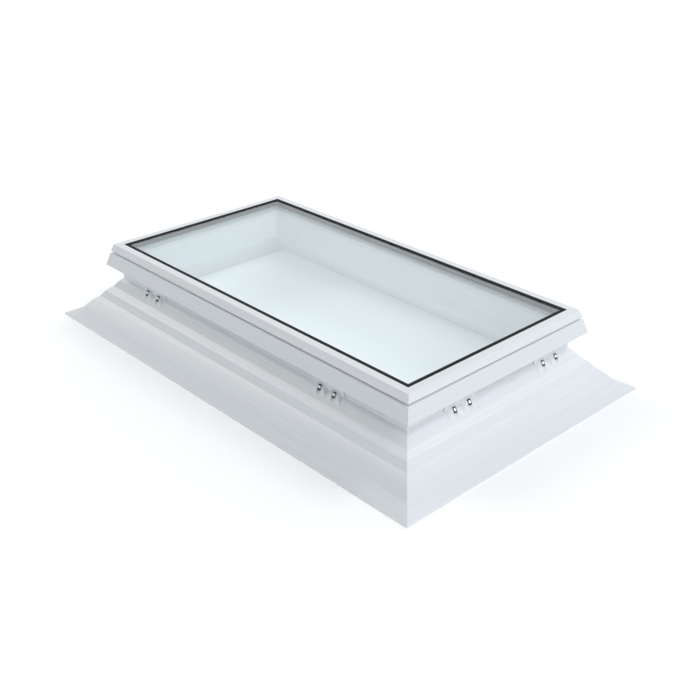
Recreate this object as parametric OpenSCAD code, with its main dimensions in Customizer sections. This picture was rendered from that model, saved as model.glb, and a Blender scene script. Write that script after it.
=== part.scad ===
// Flat-glass roof skylight: a sealed double-glazed unit in a mitred PVC frame,
// seated on a splayed, fluted PVC upstand.  Millimetres, +Z up.
// Origin: middle of the underside.  The long sides run along X; "front" faces -Y.
//
// Every length is drawn as a section in (u, z): u is measured outward from the
// bead opening (the edge that the black gasket line fills), z up from the roof.

/* [Glazing opening] */
// Length of the opening inside the beads, along X
glaze_l = 1250; // [900:1:1600]
// Width of the opening inside the beads, along Y
glaze_w = 630; // [500:1:1000]

/* [Upstand] */
// Height of the upstand
upstand_h = 200; // [180:1:260]
// Inner face, inward from the opening
throat_in = 25; // [22:0.5:32]
// Neck face, outward from the opening
neck_out = 8.5; // [6:0.5:11]
// Riser thickness behind the frame leg
riser_t = 17; // [13:0.5:19]
// Shelf that carries the frame leg, below the top of the upstand
shelf_drop = 52; // [46:1:60]
// Plain neck between the shelf and the splay
neck_h = 16; // [13:0.5:22]
// Slope of the splay, above level
splay_angle = 45.9; // [40:0.1:55]
// Height of the fold between splay and toe
fold_z = 24.6; // [20:0.2:32]
// Toe beyond the fold
toe_run = 43.5; // [34:0.5:60]
// Thickness of the toe at its outer edge
toe_t = 4.5; // [3.5:0.1:6]
// Thickness through the splay, outer face to inner face
splay_t = 40; // [32:0.5:42]
// Wall of the upstand section
upstand_wall = 3; // [2:0.1:3.8]

/* [Flutes] */
// Number of flutes down the splay
flute_count = 3; // [2:1:4]
// Depth of a flute, hollow to ridge
flute_depth = 3; // [2:0.2:4]
// Run from the neck to the first ridge
flute_first = 15.5; // [12:0.5:20]
// Run from the last ridge to the fold
fold_run = 37.2; // [30:0.2:44]

/* [Frame] */
// Glazing seat above the top of the upstand
seat_h = 17; // [13:0.5:22]
// Bead seat above the glazing seat
bead_seat_h = 7; // [5:0.5:9]
// Width of the bead seat, outward from the opening
bead_seat_w = 24; // [20:0.5:26]
// Depth of the shadow groove shelf below the bead seat
groove_step = 4.5; // [3:0.5:6]
// Outer edge of the groove shelf, outward from the opening
groove_out = 31; // [29:0.5:32.5]
// Top of the skirt face, outward from the opening
skirt_top_out = 33.5; // [33:0.5:37]
// Top of the skirt face below the groove shelf
skirt_top_drop = 1.5; // [1:0.1:2.5]
// Bottom of the skirt face, outward from the opening
skirt_out = 45.8; // [41:0.2:52]
// Bottom of the skirt below the top of the upstand
skirt_drop = 22; // [16:1:28]
// Thickness of the skirt
skirt_t = 3.2; // [2.4:0.1:4]
// Underside of the frame body below the top of the upstand
body_drop = 3; // [2:0.5:5]
// Wall of the frame section
frame_wall = 2.8; // [2:0.1:3.3]
// Gap between the frame leg and the riser
leg_gap = 0.5; // [0.3:0.1:1]

/* [Beads] */
// Flat top of the bead
bead_flat = 23.4; // [20:0.2:27]
// Nose of the bead, outward from the opening
bead_out = 31.5; // [29:0.5:33]
// Height of the bevelled face
bead_bevel_h = 20; // [16:0.5:22]
// Height of the plain nose under the bevel
bead_nose_h = 2; // [1:0.2:3]
// Wall of the bead section
bead_wall = 2.4; // [1.6:0.1:3]

/* [Glass unit] */
// Outer pane
outer_glass = 6; // [4:0.5:8]
// Space between the panes
cavity = 14; // [12:1:18]
// Inner pane
inner_glass = 6; // [4:0.5:8]
// Gap from the bead opening to the edge of the glass
glass_gap = 4; // [3:0.5:5]
// Depth of the black secondary seal
edge_seal_w = 4; // [3:0.5:6]
// Width of the spacer bar
spacer_w = 5; // [4.5:0.5:7]
// Butyl film between spacer and glass
butyl_t = 0.5; // [0.3:0.1:1]

/* [Seals and packers] */
// Gasket lip over the glass, inward from the opening
lip_w = 13.5; // [10:0.5:16]
// Thickness of the lip
lip_t = 2; // [1.5:0.1:3]
// Depth of the gasket leg beside the glass
gasket_leg_h = 10; // [6:0.5:14]
// Clearance of the gasket leg to the glass edge
gasket_fit = 0.4; // [0.2:0.1:1]
// Thickness of the inner gasket
inner_gasket_t = 3; // [2:0.5:4]
// Width of the inner gasket
inner_gasket_w = 11; // [8:0.5:14]
// Set-back of the inner gasket from the throat
inner_gasket_in = 5; // [3:0.5:7]
// Thickness of the weather seal on the shelf
weather_seal_t = 2; // [1:0.5:4]
// Set-back of the weather seal from each face of the leg
weather_seal_in = 1.5; // [0.5:0.5:3]
// Length of a glazing packer
packer_l = 60; // [40:1:100]
// Middle of each packer from the corner of the opening
packer_inset = 120; // [80:1:200]
// Gap between the packers and the glass rebate
packer_fit = 0.1; // [0.1:0.1:0.4]
// Rebate wall, inward from the opening
rebate_in = 1; // [0.5:0.1:1.5]

/* [Fixing clips] */
// Distance between the two screws of a clip
screw_pitch = 56; // [46:1:68]
// Left clip of a long side, from the end of the opening
clip_left = 173; // [120:1:260]
// Right clip of a long side, from the end of the opening
clip_right = 270; // [120:1:300]
// Front clip of a short side, from the end of the opening
clip_front = 180; // [110:1:200]
// Rear clip of a short side, from the end of the opening
clip_rear = 90; // [75:1:150]
// Thickness of the clip's back plate
plate_t = 4; // [3:0.5:6]
// Height of the back plate above the splay
plate_h = 36; // [30:1:44]
// Plate beyond the lobes at each end
plate_end = 1.5; // [1:0.5:5]
// Run of a lobe past the middle between the screws
lobe_lap = 0.5; // [0.2:0.1:1]
// Rise of a lobe above the splay
lobe_rise = 10; // [8:0.5:13]
// Start of a lobe's ramp, along the splay
ramp_start = 3; // [1:0.5:6]
// End of a lobe's ramp, along the splay
ramp_end = 28; // [23:0.5:36]
// Screw axis above the splay
screw_rise = 7; // [6.8:0.1:8]
// Diameter of the screw shank
shank_d = 4.8; // [4:0.1:5.5]
// Length of the shank under the washer
shank_l = 25.5; // [22:0.5:26]
// Diameter of the screw head
head_d = 9; // [7:0.2:9.6]
// Length of the screw head
head_l = 9; // [6:0.5:10]
// Diameter of the sealing washer
washer_d = 12; // [11:0.2:12.8]
// Thickness of the sealing washer
washer_t = 3; // [1.5:0.1:3.5]
// Length of the plastic end cap
cap_l = 4; // [2:0.2:5]
// Radial clearance of the head pocket round the washer
pocket_fit = 1; // [0.5:0.1:1.5]
// Radial clearance of a screw in its hole
hole_fit = 0.2; // [0.1:0.1:0.4]

/* [Hidden] */

// Directions each side is turned to; a section is drawn with +Y outward.
REAR = 0;
FRONT = 180;
LEFT = 90;
RIGHT = -90;

half_l = glaze_l / 2;
half_w = glaze_w / 2;
eps = 1;

// Heights, from the roof up
shelf_z = upstand_h - shelf_drop;
neck_z = shelf_z - neck_h;
seat_z = upstand_h + seat_h;
bead_z = seat_z + bead_seat_h;
groove_z = bead_z - groove_step;
leg_z = shelf_z + weather_seal_t;
body_z = upstand_h - body_drop;
inner_pane_z = seat_z + inner_gasket_t;
cavity_z = inner_pane_z + inner_glass;
outer_pane_z = cavity_z + cavity;
glass_top_z = outer_pane_z + outer_glass;
top_z = glass_top_z + lip_t;

// Plan offsets from the opening
fold_out = neck_out + (neck_z - fold_z) / tan(splay_angle);
toe_out = fold_out + toe_run;
leg_in = throat_in - riser_t - leg_gap;
spacer_out = glass_gap + edge_seal_w;
spacer_in = spacer_out + spacer_w;

// The splay: a straight run from the neck to the fold, with (s, h)
// coordinates s down the run and h square to it, outward.
neck_pt = [neck_out, neck_z];
fold_pt = [fold_out, fold_z];
run = norm(fold_pt - neck_pt);
down = (fold_pt - neck_pt) / run;
out = [-down[1], down[0]];
function splay(s, h) = neck_pt + down * s + out * h;

// Ridges (even k) and hollows (odd k) of the flutes
last_k = 2 * flute_count - 2;
flute_run = (run - flute_first - fold_run) / last_k;
function flute_s(k) = flute_first + k * flute_run;
function flute(k) = splay(flute_s(k), (k % 2 == 0 ? 1 : -1) * flute_depth / 2);
function foot(s) = splay(s, -splay_t);

// The inner face is parallel to the splay and turns upright at the knee.
inner_base = foot(0);
inner_fall = down[1] / down[0];
knee_pt = [-throat_in, inner_base[1] + (-throat_in - inner_base[0]) * inner_fall];
inner_edge_pt = [inner_base[0] - inner_base[1] / inner_fall, 0];

// The hollow in the toe ends where the toe is four walls deep.
toe_cell_z = 4 * upstand_wall;
toe_cell_out = toe_out - (toe_cell_z - toe_t) * toe_run / (fold_z - toe_t);

// Corner of a closed outline moved in by the wall of each edge it joins.
// Outlines run counter-clockwise; w[i] belongs to the edge from p[i] on.
function unit(v) = v / norm(v);
function cross2(a, b) = a[0] * b[1] - a[1] * b[0];
function inward(e) = [-e[1], e[0]];
function inset(p, w) = let (n = len(p)) [for (i = [0 : n - 1])
    let (
        j = (i + n - 1) % n,
        e0 = unit(p[i] - p[j]),
        e1 = unit(p[(i + 1) % n] - p[i]),
        q0 = p[i] + inward(e0) * w[j],
        q1 = p[i] + inward(e1) * w[i],
        t = cross2(q1 - q0, e1) / cross2(e0, e1)
    ) q0 + e0 * t];

// ---- sections ----

upstand_outline = concat(
    [inner_edge_pt, [toe_out, 0], [toe_out, toe_t], fold_pt],
    [for (k = [last_k : -1 : 0]) flute(k)],
    [neck_pt, [neck_out, shelf_z], [riser_t - throat_in, shelf_z],
        [riser_t - throat_in, upstand_h], [-throat_in, upstand_h], knee_pt]);

// One hollow of the splay: j = 0 is next to the neck, and the last one ends
// at the web from the inner edge of the base to the fold.
function splay_cell(j) = let (
        first = j == 0,
        last = j == flute_count - 1,
        s0 = first ? 0 : flute_s(2 * j - 1),
        low_in = last ? inner_edge_pt : foot(flute_s(2 * j + 1)),
        outer = concat(
            last ? [fold_pt] : [],
            [for (k = [last ? last_k : 2 * j + 1 : -1 : first ? 0 : 2 * j - 1]) flute(k)],
            first ? [neck_pt] : [])
    ) concat([foot(s0), low_in], outer);

// Walls of a splay cell: full on the two faces, half on the two webs.
function splay_walls(n) = [for (i = [0 : n - 1])
    (i == 1 || i == n - 1) ? upstand_wall / 2 : upstand_wall];

neck_cell = [knee_pt, foot(0), neck_pt, [neck_out, shelf_z], [-throat_in, shelf_z]];
riser_cell = [[-throat_in, shelf_z], [riser_t - throat_in, shelf_z],
    [riser_t - throat_in, upstand_h], [-throat_in, upstand_h]];
toe_cell = [inner_edge_pt, [toe_cell_out, 0], [toe_cell_out, toe_cell_z], fold_pt];

module upstand_section() {
    w = upstand_wall;
    difference() {
        polygon(upstand_outline);
        polygon(inset(neck_cell, [w, w / 2, w, w, w]));
        polygon(inset(riser_cell, [0, w, w, w]));
        polygon(inset(toe_cell, [w, w, w, w / 2]));
        for (j = [0 : flute_count - 1]) {
            cell = splay_cell(j);
            polygon(inset(cell, splay_walls(len(cell))));
        }
    }
}

// The skirt face leans outward as it drops.
skirt_top_z = groove_z - skirt_top_drop;
skirt_z = upstand_h - skirt_drop;
skirt_lean = (skirt_out - skirt_top_out) / (skirt_top_z - skirt_z);
function skirt_u(z) = skirt_out - (z - skirt_z) * skirt_lean;

frame_outline = [
    [-throat_in, upstand_h], [-leg_in, upstand_h], [-leg_in, leg_z], [neck_out, leg_z],
    [neck_out, body_z], [skirt_u(body_z) - skirt_t, body_z],
    [skirt_out - skirt_t, skirt_z], [skirt_out, skirt_z],
    [skirt_top_out, skirt_top_z], [groove_out, groove_z],
    [bead_seat_w, groove_z], [bead_seat_w, bead_z],
    [-rebate_in, bead_z], [-rebate_in, seat_z], [-throat_in, seat_z]];

seat_cell = [[-throat_in, upstand_h], [-leg_in, upstand_h],
    [-leg_in, seat_z], [-throat_in, seat_z]];
leg_cell = [[-leg_in, leg_z], [neck_out, leg_z], [neck_out, body_z], [-leg_in, body_z]];
body_cell = [[-leg_in, body_z], [bead_seat_w, body_z], [bead_seat_w, bead_z],
    [-rebate_in, bead_z], [-rebate_in, seat_z], [-leg_in, seat_z]];
nose_cell = [[bead_seat_w, body_z], [skirt_u(body_z), body_z],
    [skirt_top_out, skirt_top_z], [groove_out, groove_z], [bead_seat_w, groove_z]];

module frame_section() {
    w = frame_wall;
    difference() {
        polygon(frame_outline);
        polygon(inset(seat_cell, [w, w / 2, w, w]));
        polygon(inset(leg_cell, [w, w, w / 2, w]));
        polygon(inset(body_cell, [w, w / 2, w, w, w, w / 2]));
        polygon(inset(nose_cell, [w, w, w, w, w / 2]));
    }
}

bead_bevel_z = top_z - bead_bevel_h;
bead_nose_z = bead_bevel_z - bead_nose_h;
module bead_section() {
    difference() {
        polygon([[0, bead_z], [bead_seat_w, bead_z], [bead_seat_w, bead_nose_z],
            [bead_out, bead_nose_z], [bead_out, bead_bevel_z],
            [bead_flat, top_z], [0, top_z]]);
        polygon(inset([[0, bead_z], [bead_seat_w, bead_z], [bead_out, bead_bevel_z],
            [bead_flat, top_z], [0, top_z]], [for (i = [0 : 4]) bead_wall]));
    }
}

// ---- placing ----

// Puts what is drawn with +Y outward from the opening onto one side.
module on_side(side) {
    long = side == FRONT || side == REAR;
    rotate([0, 0, side]) translate([0, long ? half_w : half_l, 0]) children();
}

function side_half(side) = (side == FRONT || side == REAR) ? half_l : half_w;

// A length cut from a section, mitred at 45 degrees at both ends.
module mitred_length(side) {
    half = side_half(side);
    u0 = -throat_in - eps;
    u1 = toe_out + eps;
    on_side(side) intersection() {
        rotate([90, 0, 90]) linear_extrude(2 * (half + u1), center = true) children();
        translate([0, 0, -eps]) linear_extrude(top_z + 2 * eps)
            polygon([[-half - u0, u0], [half + u0, u0], [half + u1, u1], [-half - u1, u1]]);
    }
}

// A slab whose edge lies u outward from the opening.
module slab(u, z0, z1) {
    translate([-half_l - u, -half_w - u, z0])
        cube([glaze_l + 2 * u, glaze_w + 2 * u, z1 - z0]);
}

// A rectangular ring between two offsets.
module ring(u0, u1, z0, z1) {
    difference() {
        slab(u1, z0, z1);
        slab(u0, z0 - eps, z1 + eps);
    }
}

// Positions of the clips, measured along the side in its own turned frame.
clips = [
    [FRONT, half_l - clip_left], [FRONT, clip_right - half_l],
    [REAR, clip_left - half_l], [REAR, half_l - clip_right],
    [LEFT, clip_front - half_w], [LEFT, half_w - clip_rear],
    [RIGHT, half_w - clip_front], [RIGHT, clip_rear - half_w]];

// Local +Z runs up the screw, 0 at the washer's seat; +Y is square to the splay.
screw_tilt = atan2(down[0], -down[1]);
module on_screw(x) {
    seat = splay(0, screw_rise);
    translate([x, seat[0], seat[1]]) rotate([screw_tilt, 0, 0]) children();
}

module on_both_screws() {
    for (x = [-screw_pitch / 2, screw_pitch / 2]) on_screw(x) children();
}

module on_all_screws() {
    for (c = clips) on_side(c[0]) translate([c[1], 0, 0]) on_both_screws() children();
}

module screw_holes() {
    on_all_screws() cylinder(d = shank_d + 2 * hole_fit, h = shank_l + eps, $fn = 32);
}

// ---- pieces ----

module upstand_length(side) {
    color("gainsboro") difference() {
        mitred_length(side) upstand_section();
        screw_holes();
    }
}

module frame_length(side) {
    color("whitesmoke") difference() {
        mitred_length(side) frame_section();
        screw_holes();
    }
}

module bead_length(side) {
    color("white") mitred_length(side) bead_section();
}

// EPDM gasket: a lip over the glass and a leg down its edge
module outer_gasket() {
    color("black") union() {
        ring(-lip_w, 0, glass_top_z, top_z);
        ring(gasket_fit - glass_gap, 0, glass_top_z - gasket_leg_h, glass_top_z);
    }
}

module inner_gasket() {
    u = -throat_in + inner_gasket_in;
    color("lightgray") ring(u, u + inner_gasket_w, seat_z, inner_pane_z);
}

module weather_seal() {
    color("black") difference() {
        ring(-leg_in + weather_seal_in, neck_out - weather_seal_in, shelf_z, leg_z);
        screw_holes();
    }
}

module outer_pane() {
    color("lightcyan", 0.4) slab(-glass_gap, outer_pane_z, glass_top_z);
}

module inner_pane() {
    color("lightcyan", 0.4) slab(-glass_gap, inner_pane_z, cavity_z);
}

module spacer_bar() {
    color("silver") ring(-spacer_in, -spacer_out, cavity_z + butyl_t, outer_pane_z - butyl_t);
}

// Secondary seal outside the spacer, with the butyl films above and below it
module edge_seal() {
    color("black") difference() {
        ring(-spacer_in, -glass_gap, cavity_z, outer_pane_z);
        slab(-spacer_out, cavity_z + butyl_t, outer_pane_z - butyl_t);
    }
}

// Packers between the edge of the glass and the rebate wall, two a side
module glazing_packers() {
    color("dimgray") for (side = [FRONT, REAR, LEFT, RIGHT]) {
        for (e = [-1, 1]) on_side(side) {
            translate([e * (side_half(side) - packer_inset) - packer_l / 2,
                packer_fit - glass_gap, seat_z])
                cube([packer_l, glass_gap - rebate_in - 2 * packer_fit, bead_seat_h]);
        }
    }
}

// Moulded clip: a back plate on the neck and one ramped lobe for each screw
lobe_half = screw_pitch / 2 + lobe_lap;
lobe_r = (lobe_half * lobe_half + lobe_rise * lobe_rise) / (2 * lobe_rise);
plate_top_z = neck_z + plate_h;
ramp_top = splay(ramp_start, lobe_rise + eps);
ramp_fall = (ramp_end - flute_first) / flute_run;
clip_zone = [neck_pt, flute(0), splay(ramp_end, flute_depth * (0.5 - ramp_fall)),
    ramp_top, [ramp_top[0], plate_top_z], [neck_out, plate_top_z]];

module clip(c) {
    half = screw_pitch / 2 + lobe_half + plate_end;
    color("white") on_side(c[0]) translate([c[1], 0, 0]) difference() {
        union() {
            translate([-half, neck_out, neck_z]) cube([2 * half, plate_t, plate_h]);
            intersection() {
                on_both_screws() translate([0, lobe_rise - screw_rise - lobe_r, -ramp_end - eps])
                    cylinder(r = lobe_r, h = ramp_end + plate_h, $fn = 96);
                rotate([90, 0, 90]) linear_extrude(2 * half, center = true) polygon(clip_zone);
            }
        }
        on_both_screws() {
            cylinder(d = shank_d + 2 * hole_fit, h = shank_l, $fn = 32);
            mirror([0, 0, 1]) cylinder(d = washer_d + 2 * pocket_fit, h = 2 * ramp_end, $fn = 48);
        }
    }
}

module clip_screws() {
    color("silver") on_all_screws() union() {
        translate([0, 0, -washer_t - head_l]) cylinder(d = head_d, h = head_l, $fn = 40);
        translate([0, 0, -washer_t]) cylinder(d = shank_d, h = washer_t + shank_l, $fn = 32);
    }
}

module sealing_washers() {
    color("black") on_all_screws() translate([0, 0, -washer_t]) difference() {
        cylinder(d = washer_d, h = washer_t, $fn = 40);
        translate([0, 0, -eps])
            cylinder(d = shank_d + 2 * hole_fit, h = washer_t + 2 * eps, $fn = 32);
    }
}

module screw_caps() {
    color("black") on_all_screws() translate([0, 0, -washer_t - head_l - cap_l])
        cylinder(d = head_d, h = cap_l, $fn = 40);
}

upstand_length(FRONT);  // upstand_front
upstand_length(REAR);  // upstand_rear
upstand_length(LEFT);  // upstand_left
upstand_length(RIGHT);  // upstand_right
frame_length(FRONT);  // frame_front
frame_length(REAR);  // frame_rear
frame_length(LEFT);  // frame_left
frame_length(RIGHT);  // frame_right
bead_length(FRONT);  // bead_front
bead_length(REAR);  // bead_rear
bead_length(LEFT);  // bead_left
bead_length(RIGHT);  // bead_right
outer_gasket();
inner_gasket();
weather_seal();
outer_pane();
inner_pane();
spacer_bar();
edge_seal();
glazing_packers();
clip(clips[0]);  // clip_front_left
clip(clips[1]);  // clip_front_right
clip(clips[2]);  // clip_rear_left
clip(clips[3]);  // clip_rear_right
clip(clips[4]);  // clip_left_front
clip(clips[5]);  // clip_left_rear
clip(clips[6]);  // clip_right_front
clip(clips[7]);  // clip_right_rear
clip_screws();
sealing_washers();
screw_caps();
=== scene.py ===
import math

import bpy
import mathutils
import numpy as np
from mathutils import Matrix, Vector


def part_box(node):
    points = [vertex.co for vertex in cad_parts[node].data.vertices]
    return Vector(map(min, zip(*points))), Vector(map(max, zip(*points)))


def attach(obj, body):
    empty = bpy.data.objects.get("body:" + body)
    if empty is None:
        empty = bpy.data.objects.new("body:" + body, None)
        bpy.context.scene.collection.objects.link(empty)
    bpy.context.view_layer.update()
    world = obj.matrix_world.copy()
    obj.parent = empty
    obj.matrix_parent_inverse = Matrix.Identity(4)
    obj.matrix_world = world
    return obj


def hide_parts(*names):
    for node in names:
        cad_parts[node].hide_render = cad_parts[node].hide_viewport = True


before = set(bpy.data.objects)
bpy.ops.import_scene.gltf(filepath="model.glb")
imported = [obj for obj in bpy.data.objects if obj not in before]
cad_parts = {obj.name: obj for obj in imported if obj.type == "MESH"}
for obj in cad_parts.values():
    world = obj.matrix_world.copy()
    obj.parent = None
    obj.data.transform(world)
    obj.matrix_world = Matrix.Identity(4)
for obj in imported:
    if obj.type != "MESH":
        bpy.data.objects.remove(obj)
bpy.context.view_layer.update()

# A flat-glass roof skylight of white PVC, standing on a pale studio floor.
# Lengths are in metres; MM turns millimetres into them.  A section is drawn in
# (u, z): u outward from the opening inside the beads, z up from the floor.

MM = 0.001

# ---- sizes read from the frame ----

SIDES = ("front", "rear", "left", "right")


def corners(node):
    """A node's lowest and highest corners as two arrays."""
    low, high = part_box(node)
    return np.array(low), np.array(high)


GASKET_LOW, GASKET_HIGH = corners("outer_gasket")
HALF_OPENING = GASKET_HIGH[:2]
TOP_Z = GASKET_HIGH[2]
GLASS_HIGH = corners("outer_pane")[1]
GLASS_GAP = HALF_OPENING[0] - GLASS_HIGH[0]
CLIP_LOW, CLIP_HIGH = corners("clip_front_left")

# Fixing screws: their pitch and how they lie on the splay
SPLAY_ANGLE = math.radians(45.9)
PLATE_END = 2 * MM
SCREW_PITCH = (CLIP_HIGH[0] - CLIP_LOW[0]) / 2 - PLATE_END
PLATE_H = 36 * MM
SCREW_RISE = 7 * MM
NECK_OUT = -CLIP_HIGH[1] - HALF_OPENING[1]
NECK_Z = CLIP_HIGH[2] - PLATE_H
WASHER_D = 12 * MM
WASHER_T = 3 * MM
HEAD_D = 9 * MM
HEAD_L = 9 * MM
CAP_L = 4 * MM
SHANK_D = 4.8 * MM
SHANK_L = 25.5 * MM
SHANK_FIT = 0.2 * MM

# Gasket: how far its lip reaches over the glass, the share of that which is flat on top, how thick
# the lip is at its tip, how round its edges are, and how far its leg stays clear of the glass edge
LIP_W = 13.5 * MM
LIP_FLAT = 0.55
LIP_TIP = 0.7 * MM
LIP_EDGE = 0.5 * MM
LEG_FIT = 0.4 * MM

# Eased edges of the large PVC lengths, and of the beads and clips
EASE = 0.8 * MM
FINE_EASE = 0.6 * MM


# ---- colours and node helpers ----

NOISE_SPAN = (0.3, 0.7)


def linear(hex_colour):
    """An sRGB hex colour as linear RGBA."""
    parts = [int(hex_colour[i : i + 2], 16) / 255 for i in (1, 3, 5)]
    return [c / 12.92 if c <= 0.04045 else ((c + 0.055) / 1.055) ** 2.4 for c in parts] + [1]


def add(tree, kind, inputs=(), **settings):
    """Adds a node: inputs are values or the sockets to link from, settings are its own attributes."""
    node = tree.nodes.new(kind)
    for name, value in settings.items():
        setattr(node, name, value)
    for name, value in dict(inputs).items():
        if isinstance(value, bpy.types.NodeSocket):
            tree.links.new(value, node.inputs[name])
        else:
            node.inputs[name].default_value = value
    return node


def new_material(name, colour, roughness, **inputs):
    """A Principled material and its tree, shader and Object coordinates."""
    material = bpy.data.materials.new(name)
    material.use_nodes = True
    material.diffuse_color = linear(colour)
    tree = material.node_tree
    shader = tree.nodes["Principled BSDF"]
    values = {"Base Color": linear(colour), "Roughness": roughness}
    values.update({key.replace("_", " "): value for key, value in inputs.items()})
    for key, value in values.items():
        shader.inputs[key].default_value = value
    place = add(tree, "ShaderNodeTexCoord").outputs["Object"]
    return material, tree, shader, place


def tone(tree, shader, noise, dark, light):
    """Colours the shader between two hex colours by a noise, which keeps mostly within NOISE_SPAN."""
    low, high = NOISE_SPAN
    ramp = add(tree, "ShaderNodeMapRange", {"Value": noise, "From Min": low, "From Max": high})
    mix = add(
        tree,
        "ShaderNodeMix",
        {"Factor": ramp.outputs["Result"], "A": linear(dark), "B": linear(light)},
        data_type="RGBA",
    )
    tree.links.new(mix.outputs[2], shader.inputs["Base Color"])


def relief(tree, shader, height, depth):
    """Bumps the shader by a height of 0 to 1 that stands for depth metres."""
    bump = add(tree, "ShaderNodeBump", {"Height": height, "Distance": depth, "Strength": 1.0})
    tree.links.new(bump.outputs["Normal"], shader.inputs["Normal"])


# ---- materials ----

GLASS_IOR = 1.52


def extruded_upvc(name, dark, light, roughness, along_x):
    """Unplasticised PVC drawn through a die: white, satin, with faint lines and streaks of tone
    along the length, which keep large faces from looking printed."""
    material, tree, shader, place = new_material(name, light, roughness)
    # Die lines are about 0.2 mm apart; drawn 4 mm apart so that they show at all
    line_pitch = 4 * MM
    streak_length = 900 * MM
    scale = [1 / line_pitch] * 3
    scale[0 if along_x else 1] = 1 / streak_length
    stretched = add(tree, "ShaderNodeMapping", {"Vector": place, "Scale": scale})
    lines = add(
        tree, "ShaderNodeTexNoise",
        {"Vector": stretched.outputs["Vector"], "Scale": 1.0, "Detail": 2.0, "Roughness": 0.6},
    )
    relief(tree, shader, lines.outputs["Fac"], 0.01 * MM)
    tone(tree, shader, lines.outputs["Fac"], dark, light)
    return material


def moulded_asa():
    """Injection-moulded ASA of the clips: white, with the fine spark-eroded grain of the tool."""
    material, tree, shader, place = new_material("moulded_asa", "#E6E9EB", 0.45)
    # The grain is about 0.1 mm; drawn 0.6 mm wide
    grain = add(
        tree, "ShaderNodeTexNoise",
        {"Vector": place, "Scale": 1 / (0.6 * MM), "Detail": 2.0, "Roughness": 0.7},
    )
    relief(tree, shader, grain.outputs["Fac"], 0.03 * MM)
    tone(tree, shader, grain.outputs["Fac"], "#DFE2E5", "#E8EBED")
    return material


def epdm_rubber():
    """Extruded EPDM: soft black with a slight bloom that greys it in patches."""
    material, tree, shader, place = new_material("epdm_rubber", "#0C0F11", 0.7, Specular_IOR_Level=0.25)
    bloom = add(
        tree, "ShaderNodeTexNoise",
        {"Vector": place, "Scale": 1 / (25 * MM), "Detail": 4.0, "Roughness": 0.6},
    )
    tone(tree, shader, bloom.outputs["Fac"], "#090B0D", "#12161A")
    # The skin of the extrusion has a grain of about 0.2 mm; drawn 1.2 mm wide
    grain = add(tree, "ShaderNodeTexNoise", {"Vector": place, "Scale": 1 / (1.2 * MM), "Detail": 2.0})
    relief(tree, shader, grain.outputs["Fac"], 0.05 * MM)
    return material


def grey_tpe():
    """Light grey thermoplastic rubber of the inner gasket: soft and matt, toned to the frame."""
    material, tree, shader, place = new_material("grey_tpe", "#D2D5D7", 0.6)
    # Its grain too is about 0.2 mm; drawn 1.5 mm wide
    grain = add(tree, "ShaderNodeTexNoise", {"Vector": place, "Scale": 1 / (1.5 * MM), "Detail": 2.0})
    relief(tree, shader, grain.outputs["Fac"], 0.04 * MM)
    tone(tree, shader, grain.outputs["Fac"], "#CCCFD1", "#D6D9DB")
    return material


def polysulphide_seal():
    """Gun-applied polysulphide: matt black and slightly lumpy."""
    material, tree, shader, place = new_material("polysulphide_seal", "#0C1113", 0.65)
    lumps = add(tree, "ShaderNodeTexNoise", {"Vector": place, "Scale": 1 / (6 * MM), "Detail": 3.0})
    relief(tree, shader, lumps.outputs["Fac"], 0.3 * MM)
    tone(tree, shader, lumps.outputs["Fac"], "#090D0F", "#141A1C")
    return material


def mill_aluminium():
    """Roll-formed aluminium of the spacer: dull silver with fine lines from the rolls."""
    material, tree, shader, place = new_material("mill_aluminium", "#7C8183", 0.42, Metallic=1.0)
    # Roll lines are about 0.1 mm apart; drawn 1.5 mm apart
    stretched = add(
        tree, "ShaderNodeMapping",
        {"Vector": place, "Scale": (1 / (300 * MM), 1 / (300 * MM), 1 / (1.5 * MM))},
    )
    lines = add(tree, "ShaderNodeTexNoise", {"Vector": stretched.outputs["Vector"], "Scale": 1.0})
    relief(tree, shader, lines.outputs["Fac"], 0.02 * MM)
    tone(tree, shader, lines.outputs["Fac"], "#72777A", "#878C8E")
    return material


def stainless_steel():
    """Turned stainless steel of the screws: bright, with faint tool marks that break its mirror."""
    material, tree, shader, place = new_material("stainless_steel", "#D9DBDC", 0.22, Metallic=1.0)
    # The marks are under 0.1 mm; drawn 0.5 mm wide
    marks = add(tree, "ShaderNodeTexNoise", {"Vector": place, "Scale": 1 / (0.5 * MM), "Detail": 1.0})
    relief(tree, shader, marks.outputs["Fac"], 0.01 * MM)
    tone(tree, shader, marks.outputs["Fac"], "#CDD0D2", "#E3E5E6")
    return material


def black_polyamide():
    """Moulded polyamide of the caps and packers: black, half matt."""
    material, tree, shader, place = new_material("black_polyamide", "#16181A", 0.4)
    # The grain of the mould is about 0.1 mm; drawn 0.8 mm wide
    grain = add(tree, "ShaderNodeTexNoise", {"Vector": place, "Scale": 1 / (0.8 * MM), "Detail": 2.0})
    relief(tree, shader, grain.outputs["Fac"], 0.03 * MM)
    tone(tree, shader, grain.outputs["Fac"], "#101214", "#1C1F21")
    return material


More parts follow.
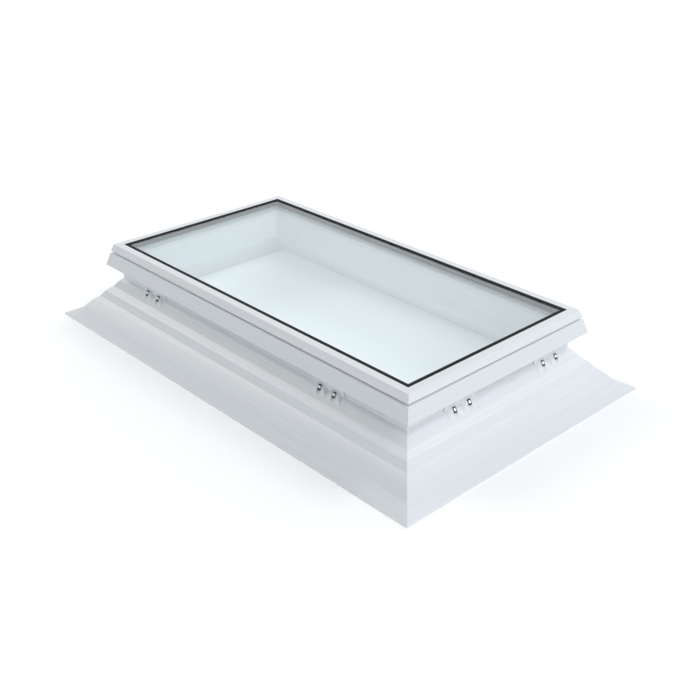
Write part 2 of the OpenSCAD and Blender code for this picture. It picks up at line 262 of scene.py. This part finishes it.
def float_glass():
    """Soda-lime float glass: clear, faintly green from its iron, mirror-smooth.  It bends what is
    seen through it and mirrors the rest by Fresnel's law; light that only falls in goes straight."""
    tint = linear("#FBFDFD")
    material = bpy.data.materials.new("float_glass")
    material.use_nodes = True
    material.diffuse_color = tint
    tree = material.node_tree
    tree.nodes.remove(tree.nodes["Principled BSDF"])
    straight = add(tree, "ShaderNodeBsdfTransparent", {"Color": tint})
    bent = add(tree, "ShaderNodeBsdfRefraction", {"Color": tint, "Roughness": 0.0, "IOR": GLASS_IOR})
    mirror = add(tree, "ShaderNodeBsdfGlossy", {"Color": (1, 1, 1, 1), "Roughness": 0.0})
    # From within, the inverse index gives the mild share of a face seen from outside, so that the
    # four faces of the unit don't pass light to and fro
    inside = add(tree, "ShaderNodeNewGeometry").outputs["Backfacing"]
    index = add(tree, "ShaderNodeMapRange", {"Value": inside, "To Min": GLASS_IOR, "To Max": 1 / GLASS_IOR})
    share = add(tree, "ShaderNodeFresnel", {"IOR": index.outputs["Result"]})
    seen = add(
        tree, "ShaderNodeMixShader",
        {0: share.outputs[0], 1: bent.outputs[0], 2: mirror.outputs[0]},
    )
    path = add(tree, "ShaderNodeLightPath")
    lighting = add(
        tree, "ShaderNodeMath",
        {0: path.outputs["Is Shadow Ray"], 1: path.outputs["Is Diffuse Ray"]}, operation="MAXIMUM",
    )
    surface = add(
        tree, "ShaderNodeMixShader",
        {0: lighting.outputs[0], 1: seen.outputs[0], 2: straight.outputs[0]},
    )
    tree.links.new(surface.outputs[0], tree.nodes["Material Output"].inputs["Surface"])
    return material


# ---- mesh helpers ----


def mesh_piece(name, points, faces, material, stands_for):
    """Makes a smooth piece from an array of points and a list of faces, in place of CAD nodes."""
    mesh = bpy.data.meshes.new(name)
    mesh.from_pydata(np.asarray(points).tolist(), [], faces)
    mesh.polygons.foreach_set("use_smooth", [True] * len(mesh.polygons))
    mesh.materials.append(material)
    mesh.update()
    piece = bpy.data.objects.new(name, mesh)
    bpy.context.scene.collection.objects.link(piece)
    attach(piece, "root")
    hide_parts(*stands_for)
    return piece


def grid_faces(rows, columns, start=0):
    """Quads between the rows of a grid whose columns close on themselves."""
    return [
        (
            start + r * columns + c,
            start + r * columns + (c + 1) % columns,
            start + (r + 1) * columns + (c + 1) % columns,
            start + (r + 1) * columns + c,
        )
        for r in range(rows - 1)
        for c in range(columns)
    ]


def rounded(outline, radius, steps=4):
    """A closed outline with each corner replaced by an arc of a circle that touches both edges: its
    touching points lie radius / tan(half the corner) from the corner, its centre lies on the corner's
    bisector, and the points between go evenly from one to the other, pushed out to the radius.  An arc
    takes less than half of the shorter edge beside it."""
    most = 0.45
    points = np.asarray(outline, float)
    before = np.roll(points, 1, axis=0) - points
    after = np.roll(points, -1, axis=0) - points
    a = before / np.linalg.norm(before, axis=1, keepdims=True)
    b = after / np.linalg.norm(after, axis=1, keepdims=True)
    half = np.arccos(np.clip((a * b).sum(1), -1, 1)) / 2
    shorter = np.minimum(np.linalg.norm(before, axis=1), np.linalg.norm(after, axis=1))
    reach = np.minimum(radius / np.tan(half), most * shorter)
    r = reach * np.tan(half)
    middle = a + b
    middle /= np.linalg.norm(middle, axis=1, keepdims=True)
    centre = points + middle * (r / np.sin(half))[:, None]
    start = points + a * reach[:, None] - centre
    end = points + b * reach[:, None] - centre
    t = np.linspace(0, 1, steps)[None, :, None]
    way = start[:, None] * (1 - t) + end[:, None] * t
    way *= r[:, None, None] / np.linalg.norm(way, axis=2, keepdims=True)
    return (centre[:, None] + way).reshape(-1, 2)


def carried_round(outline):
    """A section carried round the opening with mitred corners: each corner of the path holds the
    section's points at (half length + u, half width + u, z), turned to its own quarter."""
    section = np.asarray(outline, float)
    turns = np.array([(1, 1), (-1, 1), (-1, -1), (1, -1)], float)
    plan = turns[:, None, :] * (HALF_OPENING[None, None, :] + section[None, :, :1])
    height = np.broadcast_to(section[None, :, 1:], plan.shape[:2] + (1,))
    return np.concatenate([plan, height], axis=2).reshape(-1, 3)


def closed_path_faces(corners_count, section_count):
    """Quads of a section carried round a closed path."""
    return [
        (
            c * section_count + s,
            ((c + 1) % corners_count) * section_count + s,
            ((c + 1) % corners_count) * section_count + (s + 1) % section_count,
            c * section_count + (s + 1) % section_count,
        )
        for c in range(corners_count)
        for s in range(section_count)
    ]


# ---- gasket with a tapered lip ----


def outer_gasket(material):
    """The lip thins towards the glass and its edges are round, as extruded rubber is: a section of
    lip and leg, carried round the opening."""
    outline = [
        (-LIP_W, GLASS_HIGH[2]),
        (LEG_FIT - GLASS_GAP, GLASS_HIGH[2]),
        (LEG_FIT - GLASS_GAP, GASKET_LOW[2]),
        (0, GASKET_LOW[2]),
        (0, TOP_Z),
        (-LIP_W * LIP_FLAT, TOP_Z),
        (-LIP_W, GLASS_HIGH[2] + LIP_TIP),
    ]
    section = rounded(outline, LIP_EDGE)
    points = carried_round(section)
    faces = closed_path_faces(4, len(section))
    return mesh_piece("glazing_gasket", points, faces, material, ["outer_gasket"])


# ---- screws, washers and caps ----


def screw_places():
    """Origin and three axes of each screw.  The origin lies SCREW_RISE off the splay, square to it from
    the foot of the neck, and half the pitch to either side of the clip's middle.  The axes run along
    the side, away from the splay, and up the splay, which is the way the screw points."""
    slope = np.array([math.cos(SPLAY_ANGLE), -math.sin(SPLAY_ANGLE)])
    square = np.array([-slope[1], slope[0]])
    seat = np.array([NECK_OUT, NECK_Z]) + square * SCREW_RISE
    places = []
    for side in SIDES:
        outward = {"front": (0, -1), "rear": (0, 1), "left": (-1, 0), "right": (1, 0)}[side]
        outward = np.array(outward, float)
        along = np.array([abs(outward[1]), abs(outward[0])])
        reach = abs(outward) @ HALF_OPENING
        ends = ("left", "right") if side in ("front", "rear") else ("front", "rear")
        for end in ends:
            low, high = corners(f"clip_{side}_{end}")
            middle = ((low + high) / 2)[:2] @ along
            for half in (-0.5, 0.5):
                plan = outward * (reach + seat[0]) + along * (middle + half * SCREW_PITCH)
                origin = np.array([*plan, seat[1]])
                up = np.array([*(outward * -slope[0]), -slope[1]])
                away = np.array([*(outward * square[0]), square[1]])
                places.append((origin, np.cross(away, up), away, up))
    return places


def turned(name, profile, material, stands_for, around=40):
    """A turned shape at every screw: each point of the profile (radius, height up the screw) is
    swung round the screw's axis, and a flat face closes each end."""
    profile = np.asarray(profile, float)
    angle = np.linspace(0, 2 * math.pi, around, endpoint=False)
    ring = np.stack([np.cos(angle), np.sin(angle)], axis=1)
    local = np.concatenate(
        [
            profile[:, None, :1] * ring[None, :, :],
            np.broadcast_to(profile[:, None, 1:], (len(profile), around, 1)),
        ],
        axis=2,
    ).reshape(-1, 3)
    points, faces = [], []
    for index, (origin, side, away, up) in enumerate(screw_places()):
        points.append(origin + local @ np.stack([side, away, up]))
        start = index * len(local)
        faces += grid_faces(len(profile), around, start)
        faces.append(tuple(start + c for c in range(around - 1, -1, -1)))
        faces.append(tuple(start + len(local) - around + c for c in range(around)))
    piece = mesh_piece(name, np.concatenate(points), faces, material, stands_for)
    crisp_edges(piece, 30)
    return piece


def crisp_edges(piece, degrees):
    """Smooth shading that breaks at edges sharper than the angle."""
    piece.data.set_sharp_from_angle(angle=math.radians(degrees))


def arc(centre, radius, first, last, steps=6):
    """Points of a circle between two angles in degrees."""
    angle = np.radians(np.linspace(first, last, steps))
    return [(centre[0] + radius * math.cos(t), centre[1] + radius * math.sin(t)) for t in angle]


def screws(material):
    """Cylinder head with rounded rims over a shank; the thread is hidden in the clip."""
    rim = 0.8 * MM
    tip = SHANK_D / 8
    head_bottom = -WASHER_T - HEAD_L
    profile = [(HEAD_D / 2 - rim, head_bottom)]
    profile += arc((HEAD_D / 2 - rim, head_bottom + rim), rim, -90, 0)
    profile += arc((HEAD_D / 2 - rim, -WASHER_T - rim), rim, 0, 90)
    profile += [(SHANK_D / 2, -WASHER_T), (SHANK_D / 2, SHANK_L - SHANK_D / 2), (tip, SHANK_L)]
    return turned("clip_screw_set", profile, material, ["clip_screws"])


def washers(material):
    """Sealing washer squeezed a little, so that its rim bulges.  The shank fills its hole."""
    inner = SHANK_D / 2 + SHANK_FIT
    bulge = WASHER_T / 2
    profile = arc((WASHER_D / 2 - bulge, -WASHER_T / 2), bulge, -90, 90, 10)
    profile = [(inner, -WASHER_T)] + profile + [(inner, 0)]
    return turned("sealing_washer_set", profile, material, ["sealing_washers"])


def caps(material):
    """Domed cap pressed over the end of the screw head."""
    base = -WASHER_T - HEAD_L
    dome = 2.2 * MM
    pole = 0.4 * MM
    chamfer = 0.3 * MM
    profile = [(pole, base - CAP_L)]
    profile += arc((HEAD_D / 2 - dome, base - CAP_L + dome), dome, -90, 0, 8)
    profile += [(HEAD_D / 2, base - chamfer), (HEAD_D / 2 - chamfer, base)]
    return turned("screw_cap_set", profile, material, ["screw_caps"])


# ---- materials on the frame's own nodes ----


def eased_edges(node, width):
    """Breaks a node's edges by a small rounded chamfer.  Its loose triangles are joined first, and the
    flat faces keep their own normals, so that only the chamfers shade round."""
    weld = node.modifiers.new("joined", "WELD")
    weld.merge_threshold = 0.01 * MM
    bevel = node.modifiers.new("eased", "BEVEL")
    bevel.width = width
    bevel.segments = 2
    bevel.limit_method = "ANGLE"
    bevel.angle_limit = math.radians(12)
    bevel.face_strength_mode = "FSTR_ALL"
    weighted = node.modifiers.new("flat_faces", "WEIGHTED_NORMAL")
    weighted.mode = "FACE_AREA"
    weighted.weight = 100
    weighted.use_face_influence = True


def dress(names, material, edge=0.0):
    """Gives CAD nodes a material and, if edge is set, eased edges."""
    for name in names:
        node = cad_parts[name]
        node.data.materials.clear()
        node.data.materials.append(material)
        if edge:
            eased_edges(node, edge)


def dress_lengths(part, dark, light, roughness, edge):
    """PVC lengths: the die lines of the front and rear ones run along X, of the others along Y."""
    along_x = extruded_upvc(f"{part}_upvc_x", dark, light, roughness, True)
    along_y = extruded_upvc(f"{part}_upvc_y", dark, light, roughness, False)
    dress([f"{part}_front", f"{part}_rear"], along_x, edge)
    dress([f"{part}_left", f"{part}_right"], along_y, edge)


# ---- studio ----

VIEW_AZIMUTH = math.radians(46.84)
VIEW_ELEVATION = math.radians(27.74)
VIEW_DISTANCE = 3.145
VIEW_SHIFT_RIGHT = 0.059
VIEW_SHIFT_UP = -0.004
LENS_MM = 52.6
FLOOR_GLOW = 0.165
# Broad glows of the room: the way each one lies, its strength and its colour
ROOM_GLOWS = [
    ((-1, 0, 0), 0.99, "#FFFDFD"),
    ((0, 1, 0), 1.88, "#F8FBFF"),
    ((0, 0, 1), 0.1, "#FFFFFF"),
]
# Soft lamps: the way each one lies, its strength, its colour and its width in degrees.  The first
# two wash the right side; the small ones lie where the satin flutes mirror them.
LAMPS = [
    ((0.64, -0.64, 0.42), 0.6, "#F5FEFF", 40),
    ((0.71, 0.0, 0.71), 1.18, "#F6FAFF", 40),
    ((-0.73, -0.34, 0.59), 0.62, "#FFFFFF", 24),
    ((0.32, 0.6, 0.73), 0.5, "#FFFFFF", 20),
]


def studio_camera():
    """Looks at the middle of the underside from the front right, moved sideways without turning."""
    az, el = VIEW_AZIMUTH, VIEW_ELEVATION
    back = np.array([math.sin(az) * math.cos(el), -math.cos(az) * math.cos(el), math.sin(el)])
    right = np.array([math.cos(az), math.sin(az), 0.0])
    up = np.cross(back, right)
    data = bpy.data.cameras.new("camera")
    data.sensor_width = 36
    data.lens = LENS_MM
    data.clip_end = 200
    camera = bpy.data.objects.new("camera", data)
    camera.location = back * VIEW_DISTANCE + right * VIEW_SHIFT_RIGHT + up * VIEW_SHIFT_UP
    camera.rotation_euler = (math.pi / 2 - el, 0, az)
    bpy.context.scene.collection.objects.link(camera)
    bpy.context.scene.camera = camera


def studio_floor():
    """A wide floor of matt white paper, lit a little from below, so that it stays almost white."""
    reach = 60.0
    points = [(-reach, -reach, 0), (reach, -reach, 0), (reach, reach, 0), (-reach, reach, 0)]
    mesh = bpy.data.meshes.new("floor")
    mesh.from_pydata(points, [], [(0, 1, 2, 3)])
    material = new_material(
        "studio_paper", "#F8F8F8", 0.9,
        Specular_IOR_Level=0.0, Emission_Color=(1, 1, 1, 1), Emission_Strength=FLOOR_GLOW,
    )[0]
    mesh.materials.append(material)
    floor = bpy.data.objects.new("floor", mesh)
    bpy.context.scene.collection.objects.link(floor)


def studio_light():
    """A bright room: each glow gives its strength times the square of the cosine of the angle to it,
    and nothing beyond a right angle."""
    world = bpy.data.worlds.new("studio")
    bpy.context.scene.world = world
    world.use_nodes = True
    tree = world.node_tree
    tree.nodes.clear()
    towards = add(tree, "ShaderNodeTexCoord").outputs["Generated"]
    total = (0, 0, 0)
    for direction, strength, colour in ROOM_GLOWS:
        lean = add(tree, "ShaderNodeVectorMath", {0: towards, 1: direction}, operation="DOT_PRODUCT")
        ahead = add(tree, "ShaderNodeMath", {0: lean.outputs["Value"], 1: 0.0}, operation="MAXIMUM")
        lobe = add(tree, "ShaderNodeMath", {0: ahead.outputs[0], 1: 2.0}, operation="POWER")
        level = [strength * part for part in linear(colour)[:3]]
        glow = add(tree, "ShaderNodeVectorMath", {0: level, "Scale": lobe.outputs[0]}, operation="SCALE")
        total = add(tree, "ShaderNodeVectorMath", {0: total, 1: glow.outputs[0]}, operation="ADD").outputs[0]
    sky = add(tree, "ShaderNodeBackground", {"Color": total})
    out = add(tree, "ShaderNodeOutputWorld")
    tree.links.new(sky.outputs[0], out.inputs["Surface"])
    for direction, strength, colour, width in LAMPS:
        data = bpy.data.lights.new("soft_lamp", "SUN")
        data.energy = strength
        data.color = linear(colour)[:3]
        data.angle = math.radians(width)
        lamp = bpy.data.objects.new("soft_lamp", data)
        lamp.rotation_euler = mathutils.Vector(direction).to_track_quat("Z", "Y").to_euler()
        bpy.context.scene.collection.objects.link(lamp)
    bpy.context.scene.view_settings.view_transform = "Standard"


# ---- the skylight ----

rubber = epdm_rubber()
steel = stainless_steel()
polyamide = black_polyamide()

dress_lengths("upstand", "#DFE2E5", "#E5E8EB", 0.33, EASE)
dress_lengths("frame", "#D8DBDE", "#DEE1E4", 0.34, EASE)
dress_lengths("bead", "#DDE0E2", "#E2E4E7", 0.28, FINE_EASE)
clips = [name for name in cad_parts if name.startswith("clip_") and name != "clip_screws"]
dress(clips, moulded_asa(), FINE_EASE)
dress(["weather_seal"], rubber)
dress(["inner_gasket"], grey_tpe())
dress(["outer_pane", "inner_pane"], float_glass())
dress(["spacer_bar"], mill_aluminium())
dress(["edge_seal"], polysulphide_seal())
dress(["glazing_packers"], polyamide)

outer_gasket(rubber)
screws(steel)
washers(rubber)
caps(polyamide)

studio_camera()
studio_floor()
studio_light()
